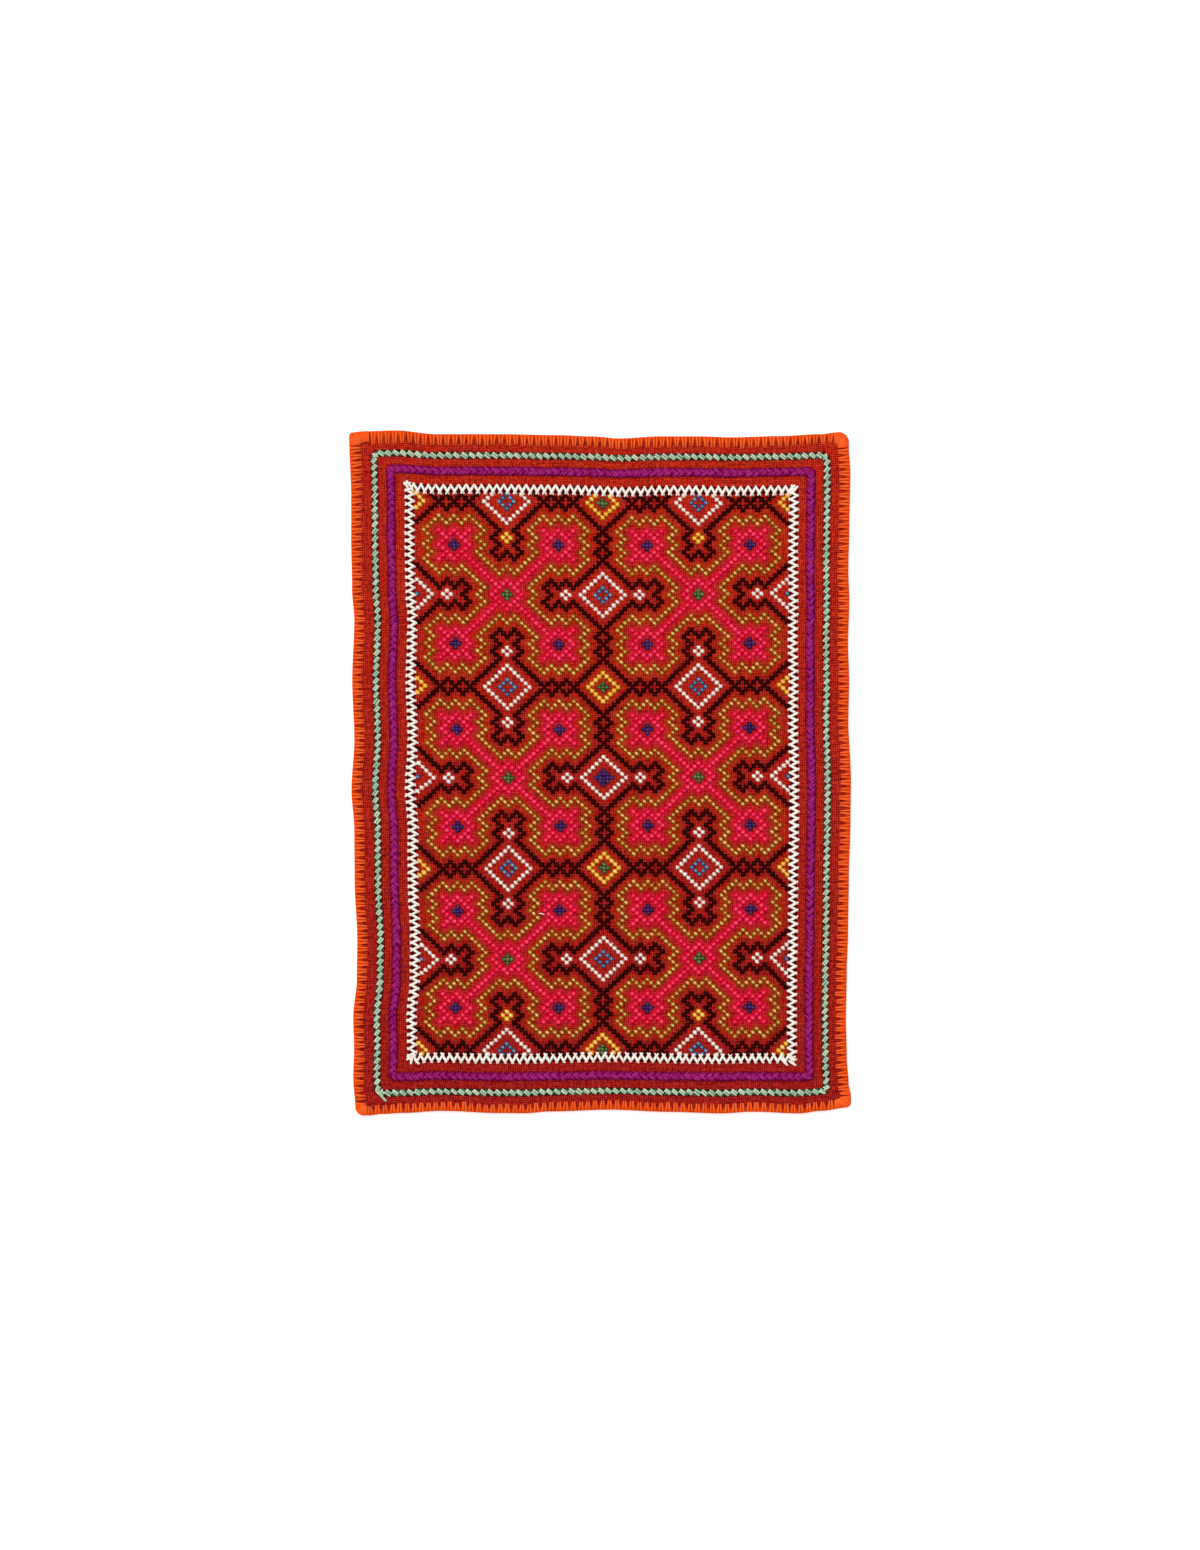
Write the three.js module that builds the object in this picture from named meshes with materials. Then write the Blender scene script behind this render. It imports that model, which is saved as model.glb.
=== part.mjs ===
// A hand-embroidered table cloth lying flat: a woven cotton ground, an overcast yarn edging
// that wraps its four sides, and three raised frames of yarn worked on its face.
// Millimetres, +Z up, +Y towards the cloth's top edge. The origin is under the middle of the cloth.
import * as THREE from "three";

// Heights above the table
const EDGING_UNDER_TOP = 0.6;
const SEWN_GAP = 0.3;
const CLOTH_TOP = 1.8;
const YARN_HEIGHT = 0.8;
const RIM_UNDERSIDE = EDGING_UNDER_TOP + SEWN_GAP;
const YARN_UNDERSIDE = CLOTH_TOP + SEWN_GAP;
const YARN_TOP = YARN_UNDERSIDE + YARN_HEIGHT;

// Thickness of the edging yarn round the cloth's edge, and the bevel of its rounded upper and lower turns
const EDGING_WALL = 1.0;
const EDGING_BEVEL = 0.4;
const FRAME_BEVEL = 0.8;

// Steps along the short and the long sides, and the closer ones that round each corner
const SHORT_STEPS = 26;
const LONG_STEPS = 34;
const CORNER_STEPS = 4;
const CORNER_LENGTH = 6.0;

// Mean lines of the four sides, and how far the edging reaches in from each
const SIDES = {
  left: { line: -167.3, reach: 7.6 },
  right: { line: 168.7, reach: 7.6 },
  top: { line: 228.6, reach: 7.8 },
  bottom: { line: -229.8, reach: 6.6 },
};

// Rounding of the four corners
const CORNER_RADIUS = { topLeft: 2.0, topRight: 7.0, bottomRight: 3.0, bottomLeft: 5.5 };

// Middle lines and widths of the three worked frames
const FRAMES = {
  green_row: { left: -151.1, right: 153.4, top: 214.3, bottom: -216.2, width: 5.8 },
  purple_row: { left: -140.2, right: 142.5, top: 204.8, bottom: -205.5, width: 8.1 },
  white_row: { left: -127.6, right: 130.9, top: 191.5, bottom: -193.2, width: 7.1 },
};

// How far each hand-worked side strays outwards from its mean line: [place along the side, stray]
const STRAY = {
  left: [
    [-229, -1.6], [-204.7, 0.0], [-187.8, -0.5], [-164.1, 0.0], [-140.3, -2.4], [-113.2, -2.7],
    [-72.6, -0.9], [-38.7, -0.7], [-11.6, 1.2], [22.3, -0.7], [62.9, 0.7], [103.6, -0.7],
    [123.9, 0.8], [157.8, 1.4], [184.9, 1.4], [225.5, 2.7],
  ],
  right: [
    [-222, 1.4], [-211.5, -0.2], [-194.5, -1.4], [-167.4, -2.0], [-133.6, -1.4], [-106.5, -0.5],
    [-72.6, 0.0], [-31.9, 1.1], [-4.8, 1.4], [35.8, -0.3], [62.9, 0.2], [86.6, -0.5],
    [117.1, 0.3], [137.4, -0.3], [164.5, 0.3], [201.8, 1.0], [218.7, 0.0],
  ],
  top: [
    [-168, 1.6], [-155.8, 3.0], [-135.5, 3.5], [-108.4, 1.0], [-67.8, 1.0], [-27.1, 0.3],
    [-6.8, -0.5], [13.6, -1.9], [40.7, -0.5], [67.8, -0.5], [88.1, -1.2], [122, -0.3],
    [149.1, 1.0], [163, 2.4],
  ],
  bottom: [
    [-158.5, 2.4], [-149.1, 1.4], [-135.5, 0.7], [-108.4, -0.7], [-67.8, 0.8], [-50.8, 0.9],
    [-33.9, -0.3], [6.8, -1.5], [47.4, 0.0], [81.3, 1.0], [103, -0.1], [134.1, 1.0],
    [149.1, -0.7], [168, -3.4],
  ],
};

// The stray of one side at a place along it, easing from each row of its table to the next
function strayAt(table, along) {
  if (along <= table[0][0]) {
    return table[0][1];
  }
  for (let row = 1; row < table.length; row++) {
    const [start, from] = table[row - 1];
    const [end, to] = table[row];
    if (along <= end) {
      return from + (to - from) * THREE.MathUtils.smoothstep(along, start, end);
    }
  }
  return table[table.length - 1][1];
}

// A point of the straight pattern, moved to where the hand-worked cloth has it
function worked([x, y]) {
  const sideways = x < 0 ? -strayAt(STRAY.left, y) : strayAt(STRAY.right, y);
  const lengthways = y < 0 ? -strayAt(STRAY.bottom, x) : strayAt(STRAY.top, x);
  return [x + sideways, y + lengthways];
}

// The four corners in turn, each with its two sides, the way it points and its rounding
const CORNERS = [
  { x: SIDES.left, y: SIDES.bottom, signX: -1, signY: -1, radius: CORNER_RADIUS.bottomLeft },
  { x: SIDES.right, y: SIDES.bottom, signX: 1, signY: -1, radius: CORNER_RADIUS.bottomRight },
  { x: SIDES.right, y: SIDES.top, signX: 1, signY: 1, radius: CORNER_RADIUS.topRight },
  { x: SIDES.left, y: SIDES.top, signX: -1, signY: 1, radius: CORNER_RADIUS.topLeft },
];

// The middle of a corner's arc, where two edging strips meet, and the corner of the edging's inner line
function mitre(corner) {
  const drop = corner.radius * (1 - Math.SQRT1_2);
  return {
    outer: [corner.x.line - corner.signX * drop, corner.y.line - corner.signY * drop],
    inner: [corner.x.line - corner.signX * corner.x.reach, corner.y.line - corner.signY * corner.y.reach],
  };
}

// How far a corner's rounding draws a side in, at a distance from the corner measured along the side
function roundingDrop(radius, fromCorner) {
  const intoArc = Math.max(radius - fromCorner, 0);
  return radius - Math.sqrt(radius * radius - intoArc * intoArc);
}

// Shares of a side's length from 0 to 1, closer together next to its two corners
function stationShares(length, steps) {
  const cornerShare = CORNER_LENGTH / length;
  const rounding = [];
  for (let step = 0; step < CORNER_STEPS; step++) {
    rounding.push((cornerShare * step) / CORNER_STEPS);
  }
  const between = [];
  for (let step = 0; step <= steps; step++) {
    between.push(THREE.MathUtils.lerp(cornerShare, 1 - cornerShare, step / steps));
  }
  return [...rounding, ...between, ...rounding.map((share) => 1 - share).reverse()];
}

// One side from mitre to mitre: pairs of points on its outer edge and on the edging's inner line
function sideStations(startCorner, endCorner, steps, clearance) {
  const runsAlongX = startCorner.y === endCorner.y;
  const axis = runsAlongX ? 0 : 1;
  const start = mitre(startCorner);
  const end = mitre(endCorner);
  const side = runsAlongX ? startCorner.y : startCorner.x;
  const signOut = runsAlongX ? startCorner.signY : startCorner.signX;
  const startLine = runsAlongX ? startCorner.x.line : startCorner.y.line;
  const endLine = runsAlongX ? endCorner.x.line : endCorner.y.line;
  const direction = Math.sign(endLine - startLine);
  return stationShares(Math.abs(endLine - startLine), steps).map((share) => {
    const trim = clearance * direction * (1 - 2 * share);
    const outerAlong = THREE.MathUtils.lerp(start.outer[axis], end.outer[axis], share) + trim;
    const innerAlong = THREE.MathUtils.lerp(start.inner[axis], end.inner[axis], share) + trim;
    const drop = roundingDrop(startCorner.radius, Math.abs(outerAlong - startLine))
      + roundingDrop(endCorner.radius, Math.abs(outerAlong - endLine));
    const outerAcross = side.line - signOut * drop;
    const innerAcross = side.line - signOut * side.reach;
    return runsAlongX
      ? { outer: [outerAlong, outerAcross], inner: [innerAlong, innerAcross], reach: side.reach }
      : { outer: [outerAcross, outerAlong], inner: [innerAcross, innerAlong], reach: side.reach };
  });
}

// A point of a station, at a distance in from the outer edge, at a height
function stationPoint(station, inset, z) {
  const share = inset / station.reach;
  const x = THREE.MathUtils.lerp(station.outer[0], station.inner[0], share);
  const y = THREE.MathUtils.lerp(station.outer[1], station.inner[1], share);
  return [...worked([x, y]), z];
}

const sideSteps = (cornerIndex) => (cornerIndex % 2 === 0 ? SHORT_STEPS : LONG_STEPS);

// Stations all round the cloth, the shared mitres once
function allStations() {
  return CORNERS.flatMap((corner, index) => {
    const next = CORNERS[(index + 1) % CORNERS.length];
    return sideStations(corner, next, sideSteps(index), 0).slice(0, -1);
  });
}

// Joins a row of equal rings of points into a surface, closed along the row or capped at its two ends
function loft(rings, { closed }) {
  const ringSize = rings[0].length;
  const positions = rings.flat(2);
  const index = [];
  const lastRing = closed ? rings.length : rings.length - 1;
  for (let ring = 0; ring < lastRing; ring++) {
    for (let point = 0; point < ringSize; point++) {
      const a = ring * ringSize + point;
      const b = ring * ringSize + ((point + 1) % ringSize);
      const c = ((ring + 1) % rings.length) * ringSize + point;
      const d = ((ring + 1) % rings.length) * ringSize + ((point + 1) % ringSize);
      index.push(a, b, d, a, d, c);
    }
  }
  return { positions, index, ringSize };
}

// Fills an outline that runs anticlockwise in its first two coordinates
function capTriangles(ring) {
  const outline = ring.map(([first, second]) => new THREE.Vector2(first, second));
  return THREE.ShapeUtils.triangulateShape(outline, []);
}

function meshOf(name, positions, index, colour, roughness) {
  const geometry = new THREE.BufferGeometry();
  geometry.setAttribute("position", new THREE.Float32BufferAttribute(positions, 3));
  geometry.setIndex(outward(positions, index));
  geometry.computeVertexNormals();
  const material = new THREE.MeshStandardMaterial({ color: colour, roughness, metalness: 0 });
  const mesh = new THREE.Mesh(geometry, material);
  mesh.name = name;
  return mesh;
}

// Turns every face over where the body's signed volume shows that they point inwards
function outward(positions, index) {
  const corner = (vertex) => new THREE.Vector3().fromArray(positions, 3 * vertex);
  let volume = 0;
  for (let face = 0; face < index.length; face += 3) {
    const [a, b, c] = [corner(index[face]), corner(index[face + 1]), corner(index[face + 2])];
    volume += a.dot(b.cross(c));
  }
  return volume > 0 ? index : index.reverse();
}

// The woven ground: its rim is drawn up and held between the edging's two layers
function groundCloth() {
  const stations = allStations();
  const rimInset = EDGING_WALL + SEWN_GAP;
  const ringAt = (insetOf, z) => stations.map((station) => stationPoint(station, insetOf(station), z));
  const bodyInset = (station) => station.reach + SEWN_GAP;
  const rings = [
    ringAt(bodyInset, 0),
    ringAt(bodyInset, RIM_UNDERSIDE),
    ringAt(() => rimInset, RIM_UNDERSIDE),
    ringAt(() => rimInset, CLOTH_TOP),
  ];
  const { positions, index, ringSize } = loft(rings, { closed: false });
  const topStart = ringSize * (rings.length - 1);
  for (const [a, b, c] of capTriangles(rings[0])) {
    index.push(a, c, b);
  }
  for (const [a, b, c] of capTriangles(rings[rings.length - 1])) {
    index.push(topStart + a, topStart + b, topStart + c);
  }
  return meshOf("ground_cloth", positions, index, 0xa42618, 0.9);
}

// The edging's section as [inset, height], with its inner turn open to take the cloth's rim
function edgingSection(reach) {
  return [
    [EDGING_BEVEL, 0],
    [reach, 0],
    [reach, EDGING_UNDER_TOP],
    [EDGING_WALL, EDGING_UNDER_TOP],
    [EDGING_WALL, YARN_UNDERSIDE],
    [reach, YARN_UNDERSIDE],
    [reach, YARN_TOP],
    [EDGING_BEVEL, YARN_TOP],
    [0, YARN_TOP - EDGING_BEVEL],
    [0, EDGING_BEVEL],
  ];
}

// One side's overcast edging, cut square to its neighbours at the two mitres
function edging(name, cornerIndex) {
  const corner = CORNERS[cornerIndex];
  const next = CORNERS[(cornerIndex + 1) % CORNERS.length];
  const stations = sideStations(corner, next, sideSteps(cornerIndex), SEWN_GAP);
  const section = edgingSection(stations[0].reach);
  const rings = stations.map((station) => section.map(([inset, z]) => stationPoint(station, inset, z)));
  const { positions, index, ringSize } = loft(rings, { closed: false });
  const endStart = ringSize * (rings.length - 1);
  for (const [a, b, c] of capTriangles(section)) {
    index.push(a, c, b, endStart + a, endStart + b, endStart + c);
  }
  return meshOf(name, positions, index, 0xe1581f, 0.8);
}

// The corners of a worked frame's rectangle, let out or drawn in by a distance
function frameCorners(frame, out) {
  return [
    [frame.left - out, frame.bottom - out],
    [frame.right + out, frame.bottom - out],
    [frame.right + out, frame.top + out],
    [frame.left - out, frame.top + out],
  ];
}

// A closed frame of raised yarn on the cloth's face, its upper edges bevelled
function workedFrame(name, colour) {
  const frame = FRAMES[name];
  const half = frame.width / 2;
  const section = [
    [half, YARN_UNDERSIDE],
    [half - FRAME_BEVEL, YARN_TOP],
    [FRAME_BEVEL - half, YARN_TOP],
    [-half, YARN_UNDERSIDE],
  ];
  const rings = [];
  for (let corner = 0; corner < CORNERS.length; corner++) {
    const steps = sideSteps(corner);
    for (let step = 0; step < steps; step++) {
      rings.push(section.map(([out, z]) => {
        const corners = frameCorners(frame, out);
        const [startX, startY] = corners[corner];
        const [endX, endY] = corners[(corner + 1) % corners.length];
        const share = step / steps;
        const x = THREE.MathUtils.lerp(startX, endX, share);
        const y = THREE.MathUtils.lerp(startY, endY, share);
        return [...worked([x, y]), z];
      }));
    }
  }
  const { positions, index } = loft(rings, { closed: true });
  return meshOf(name, positions, index, colour, 0.85);
}

const cloth = new THREE.Group();
cloth.add(
  groundCloth(),
  edging("edging_bottom", 0),
  edging("edging_right", 1),
  edging("edging_top", 2),
  edging("edging_left", 3),
  workedFrame("green_row", 0xb4cda5),
  workedFrame("purple_row", 0x8f1b6e),
  workedFrame("white_row", 0xf2e6da),
);

export default cloth;
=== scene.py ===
"""A hand-embroidered cloth of red cotton, laid flat on a pale floor.

Every stitch is a strand of yarn with a body of its own: counted crosses in the panel, three raised rows of
yarn round it and an overcast edging over its four sides. Lengths are in millimetres until a mesh is made.
"""

import collections
import math

import bpy
import numpy as np
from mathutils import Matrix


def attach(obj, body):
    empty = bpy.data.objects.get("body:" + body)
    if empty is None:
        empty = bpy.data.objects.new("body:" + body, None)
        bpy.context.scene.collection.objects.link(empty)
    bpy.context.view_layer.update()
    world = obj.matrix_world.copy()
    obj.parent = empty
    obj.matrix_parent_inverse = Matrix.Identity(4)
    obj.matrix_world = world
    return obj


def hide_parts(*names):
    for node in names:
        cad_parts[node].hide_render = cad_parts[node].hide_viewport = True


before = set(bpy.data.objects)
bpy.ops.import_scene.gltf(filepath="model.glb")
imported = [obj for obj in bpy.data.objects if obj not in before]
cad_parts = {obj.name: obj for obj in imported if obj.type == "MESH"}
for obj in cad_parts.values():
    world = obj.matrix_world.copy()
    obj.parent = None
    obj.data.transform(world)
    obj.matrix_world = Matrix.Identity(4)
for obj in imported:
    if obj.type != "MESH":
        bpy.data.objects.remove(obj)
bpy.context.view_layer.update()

MM = 0.001
BODY = "root"

# Heights above the table, as in the part's source
CLOTH_TOP = 1.8
RIM_UNDERSIDE = 0.9
CLOTH_UNDERSIDE = 0.35
EDGING_WALL = 1

# One cross-stitch, and the middle of the counted panel
CELL_WIDTH = 2.5
CELL_HEIGHT = 2.378
PANEL_X = 1.7
PANEL_Y = -2.3
CELL = np.array([CELL_WIDTH, CELL_HEIGHT])
PANEL = np.array([PANEL_X, PANEL_Y])

# Mean lines of the sides, how far the edging reaches in, and how much further at a side's low and high ends
SIDES = {
    "left": {"line": -167.3, "reach": 7.6, "further": (0, 0.9)},
    "right": {"line": 168.7, "reach": 7.6, "further": (0, 0.5)},
    "top": {"line": 228.6, "reach": 7.8, "further": (1.5, -0.7)},
    "bottom": {"line": -229.8, "reach": 6.6, "further": (0, 0)},
}
FURTHER_LENGTH = 60

# The corners by the signs of x and y: rounding, and how far the close stitches reach along x and along y
CORNERS = {
    (-1, 1): {"radius": 1.6, "along_x": 13.4, "along_y": 8.6},
    (1, 1): {"radius": 7, "along_x": 10, "along_y": 10},
    (1, -1): {"radius": 3, "along_x": 11, "along_y": 7.6},
    (-1, -1): {"radius": 5.5, "along_x": 8, "along_y": 9},
}

# Middle lines of the three raised rows, and the radius of their corners
ROWS = {
    "green_row": {"left": -151.1, "right": 153.4, "top": 214.3, "bottom": -216.2, "radius": 4},
    "purple_row": {"left": -140.2, "right": 142.5, "top": 203.8, "bottom": -205.5, "radius": 1.5},
    "white_row": {"left": -127.6, "right": 130.9, "top": 191.5, "bottom": -193.2, "radius": 1},
}

# How far each hand-worked side strays outwards from its mean line: place along the side, stray
STRAY = {
    "left": [
        (-229, -1.6), (-204.7, 0), (-187.8, -0.5), (-164.1, 0), (-140.3, -2.4), (-113.2, -2.7),
        (-72.6, -0.9), (-38.7, -0.7), (-11.6, 1.2), (22.3, -0.7), (62.9, 0.7), (103.6, -0.7),
        (123.9, 0.8), (157.8, 1.4), (184.9, 1.4), (225.5, 2.7),
    ],
    "right": [
        (-222, 1.4), (-211.5, -0.2), (-194.5, -1.4), (-167.4, -2), (-133.6, -1.4), (-106.5, -0.5),
        (-72.6, 0), (-31.9, 1.1), (-4.8, 1.4), (35.8, -0.3), (62.9, 0.2), (86.6, -0.5),
        (117.1, 0.3), (137.4, -0.3), (164.5, 0.3), (201.8, 1), (218.7, 0),
    ],
    "top": [
        (-168, 1.6), (-155.8, 3), (-135.5, 3.5), (-108.4, 1), (-67.8, 1), (-27.1, 0.3),
        (-6.8, -0.5), (13.6, -1.9), (40.7, -0.5), (67.8, -0.5), (88.1, -1.2), (122, -0.3),
        (149.1, 1), (163, 2.4),
    ],
    "bottom": [
        (-158.5, 2.4), (-149.1, 1.4), (-135.5, 0.7), (-108.4, -0.7), (-67.8, 0.8), (-50.8, 0.9),
        (-33.9, -0.3), (6.8, -1.5), (47.4, 0), (81.3, 1), (103, -0.1), (134.1, 1),
        (149.1, -0.7), (168, -3.4),
    ],
}

# How much of its stray each side passes on to the rows inside it, and from where to where
PASSED_ON = {"left": 0.9, "right": 0.5, "top": 0.65, "bottom": 0.45}
INNER_X = {"from": 63, "first_row": 127, "last_row": 154, "edge": 161}
INNER_Y = {"from": 118, "first_row": 190, "last_row": 216, "edge": 222}

# How the panel leans and bows: place up the cloth, and the shifts across and up of its left, middle and right
PANEL_LEAN = (
    (-187, (0, 0, 0), (0, 0, 0)),
    (-150.5, (0.6, 0.4, 0), (-0.1, 0.1, 0.9)),
    (-89.5, (1.1, 1.1, 0.5), (-1.2, -0.2, 0.4)),
    (-28.5, (1.7, 1.3, -0.7), (-1, -0.3, 0.4)),
    (32, (0.9, 0.6, -0.7), (-1.2, -1.8, -0.2)),
    (93, (0.2, 0.3, -0.2), (0, -1.2, 0)),
    (154, (0.3, 0.1, -0.1), (-0.3, -0.6, 0.3)),
    (185, (0, 0, 0), (0, 0, 0)),
)
LEAN_X = 113
LEAN_FADE = {"end": 128, "length": 10}


# Places on the uneven cloth

def ease(share):
    share = np.clip(share, 0, 1)
    return share * share * (3 - 2 * share)


def stray_at(side, along):
    """The stray of one side at places along it, easing from each row of its table to the next."""
    rows = np.array(STRAY[side])
    place = np.clip(along, rows[0, 0], rows[-1, 0])
    row = np.clip(np.searchsorted(rows[:, 0], place) - 1, 0, len(rows) - 2)
    share = (place - rows[row, 0]) / (rows[row + 1, 0] - rows[row, 0])
    return rows[row, 1] + (rows[row + 1, 1] - rows[row, 1]) * ease(share)


def worked(points):
    """Points of the straight pattern, moved to where the hand-worked cloth has them."""
    x, y = points[..., 0], points[..., 1]
    placed = points.copy()
    placed[..., 0] += np.where(x < 0, -felt("left", INNER_X, -x, y), felt("right", INNER_X, x, y))
    placed[..., 1] += np.where(y < 0, -felt("bottom", INNER_Y, -y, x), felt("top", INNER_Y, y, x))
    return placed + lean(x, y)


def felt(side, inner, outwards, along):
    """How much of a side's stray is felt at a distance out from the cloth's middle."""
    rows_share = ease((outwards - inner["from"]) / (inner["first_row"] - inner["from"]))
    edge_share = ease((outwards - inner["last_row"]) / (inner["edge"] - inner["last_row"]))
    share = PASSED_ON[side] * rows_share + (1 - PASSED_ON[side]) * edge_share
    return share * stray_at(side, along)


def lean(x, y):
    """The panel's own shift across and up, through its left, middle and right."""
    heights, *ways = zip(*PANEL_LEAN)
    place = np.clip(x / LEAN_X, -1.1, 1.1)
    fade = ease((LEAN_FADE["end"] - np.abs(x)) / LEAN_FADE["length"])
    shifts = []
    for way in ways:
        left, middle, right = (np.interp(y, heights, column) for column in zip(*way))
        bow = left * place * (place - 1) / 2 + middle * (1 - place * place) + right * place * (place + 1) / 2
        shifts.append(fade * bow)
    return np.stack(shifts, axis=-1)


def rounding_drop(radius, from_corner):
    """How far a corner's rounding draws a side in, at a distance from the corner along the side."""
    into_arc = np.clip(radius - from_corner, 0, radius)
    return radius - np.sqrt(radius * radius - into_arc * into_arc)


# Meshes

def linked(name, data):
    obj = bpy.data.objects.new(name, data)
    bpy.context.scene.collection.objects.link(obj)
    return obj


def mesh_object(name, points, faces, values):
    """A smooth mesh from points in millimetres, batches of faces with their UV, and values of its points."""
    mesh = bpy.data.meshes.new(name)
    loops = np.concatenate([corners.ravel() for corners, _ in faces])
    sides = np.concatenate([np.full(len(corners), corners.shape[1]) for corners, _ in faces])
    mesh.vertices.add(len(points))
    mesh.vertices.foreach_set("co", (points * MM).astype(np.float32).ravel())
    mesh.loops.add(len(loops))
    mesh.loops.foreach_set("vertex_index", loops.astype(np.int32))
    mesh.polygons.add(len(sides))
    mesh.polygons.foreach_set("loop_start", (np.cumsum(sides) - sides).astype(np.int32))
    mesh.update(calc_edges=True)
    mesh.polygons.foreach_set("use_smooth", np.ones(len(sides), dtype=bool))
    layer = mesh.uv_layers.new(name="along_yarn")
    layer.data.foreach_set("uv", np.concatenate([uv.ravel() for _, uv in faces]).astype(np.float32))
    for label, value in values.items():
        attribute = mesh.attributes.new(label, "FLOAT", "POINT")
        attribute.data.foreach_set("value", value.astype(np.float32).ravel())
    mesh.validate()
    return linked(name, mesh)


def unit(vectors):
    return vectors / np.maximum(np.linalg.norm(vectors, axis=-1, keepdims=True), 1e-9)


def corner_uv(*corners):
    """The UV of faces' corners, each given by its places along the yarn and round it."""
    return np.stack([np.stack(np.broadcast_arrays(*corner), axis=-1) for corner in corners], axis=-2)


# A strand at its steps: share of its way, height above the cloth, half-width, half-height, and its painted
# light, which paints shade where the strand dives into the cloth and a highlight on its crown
Profile = collections.namedtuple("Profile", "shares heights widths half_height lift")

# Points round a strand's section
AROUND = 6


class Strands:
    """Strands of yarn gathered in batches, all of which become one mesh."""

    def __init__(self):
        self.batches = []
        self.count = 0

    def lay(self, centres, half_width, half_height, shade, lift, lateral=None):
        """Adds strands along centres (strand, step, xyz), pointed at both ends.

        shade goes by strand, the rest by step; lateral is the way that the width runs, where it isn't level.
        """
        strands, steps, _ = centres.shape
        rings = steps - 2
        forward = unit(np.gradient(centres, axis=1))
        if lateral is None:
            lateral = np.cross(np.array([0, 0, 1]), forward)
        lateral = unit(lateral - np.sum(lateral * forward, axis=-1, keepdims=True) * forward)
        upward = np.cross(forward, lateral)

        number = np.arange(AROUND)
        angle = math.tau * number[:, None] / AROUND
        wide, high = (np.broadcast_to(half, (strands, steps))[:, 1:-1, None, None]
                      for half in (half_width, half_height))
        ring = (centres[:, 1:-1, None] + wide * np.cos(angle) * lateral[:, 1:-1, None]
                + high * np.sin(angle) * upward[:, 1:-1, None])
        body = np.concatenate([centres[:, :1], ring.reshape(strands, -1, 3), centres[:, -1:]], axis=1)
        per_strand = body.shape[1]

        ring_starts = 1 + AROUND * np.arange(rings)[:, None]
        here, beside = ring_starts + number, ring_starts + (number + 1) % AROUND
        quads = np.stack([here[:-1], beside[:-1], beside[1:], here[1:]], axis=-1).reshape(-1, 4)
        start_fan = np.stack([np.zeros_like(number), beside[0], here[0]], axis=-1)
        end_fan = np.stack([np.full_like(number, per_strand - 1), here[-1], beside[-1]], axis=-1)
        triangles = np.concatenate([start_fan, end_fan])

        lengths = np.linalg.norm(np.diff(centres, axis=1), axis=-1)
        along = np.concatenate([np.zeros((strands, 1)), np.cumsum(lengths, axis=1)], axis=1)[..., None]
        turn, next_turn = number / AROUND, (number + 1) / AROUND
        between = (turn + next_turn) / 2
        start, end = along[:, 1:-2], along[:, 2:-1]
        quad_uv = corner_uv((start, turn), (start, next_turn), (end, next_turn), (end, turn))
        start_uv = corner_uv((along[:, 0], between), (along[:, 1], next_turn), (along[:, 1], turn))
        end_uv = corner_uv((along[:, -1], between), (along[:, -2], turn), (along[:, -2], next_turn))
        triangle_uv = np.stack([start_uv, end_uv], axis=1)

        first_point = self.count + np.arange(strands)[:, None, None] * per_strand
        # Painted light of each point: painted shade low in the stitch, painted highlight on the crown
        lift = np.broadcast_to(lift, (strands, steps))
        lift = np.concatenate([lift[:, :1], np.repeat(lift[:, 1:-1], AROUND, axis=1), lift[:, -1:]], axis=1)
        self.batches.append((
            body.reshape(-1, 3), (first_point + quads).reshape(-1, 4), quad_uv.reshape(-1, 4, 2),
            (first_point + triangles).reshape(-1, 3), triangle_uv.reshape(-1, 3, 2),
            np.repeat(np.broadcast_to(shade, strands), per_strand), lift.ravel()))
        self.count += strands * per_strand

    def lay_over(self, plan, profile, shade=0):
        """Adds strands above the cloth along their plan (strand, step, xy), or one strand along its own."""
        plan = plan if plan.ndim == 3 else plan[None]
        height = np.broadcast_to(CLOTH_TOP + profile.heights, plan.shape[:2])
        self.lay(np.dstack([plan, height]), profile.widths, profile.half_height, shade, profile.lift)

    def lay_bars(self, plan):
        """Adds short flat bars on the underside."""
        height = CLOTH_UNDERSIDE - BAR_THICKNESS + UNDERSIDE_RIPPLE * ripple(plan[..., 0], plan[..., 1])
        self.lay(np.dstack([plan, height]), BAR_WIDTHS, BAR_THICKNESS, 0, BAR_PAINTED_LIGHT)

    def make(self, name, yarn):
        points, quads, quad_uv, triangles, triangle_uv, shade, lift = map(np.concatenate, zip(*self.batches))
        faces = ((quads, quad_uv), (triangles, triangle_uv))
        piece = mesh_object(name, points, faces, {"shade": shade, "lift": lift})
        piece.data.materials.append(MATERIALS[yarn])
        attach(piece, BODY)
        return piece


# Materials

class Value:
    """A number that varies over a surface, for sums that are written as usual."""

    def __init__(self, nodes, socket):
        self.nodes = nodes
        self.socket = socket

    def __add__(self, other):
        return self.nodes.math("ADD", self, other)

    def __sub__(self, other):
        return self.nodes.math("SUBTRACT", self, other)

    def __rsub__(self, other):
        return self.nodes.math("SUBTRACT", other, self)

    def __mul__(self, other):
        return self.nodes.math("MULTIPLY", self, other)

    def __abs__(self):
        return self.nodes.math("ABSOLUTE", self)


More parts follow.
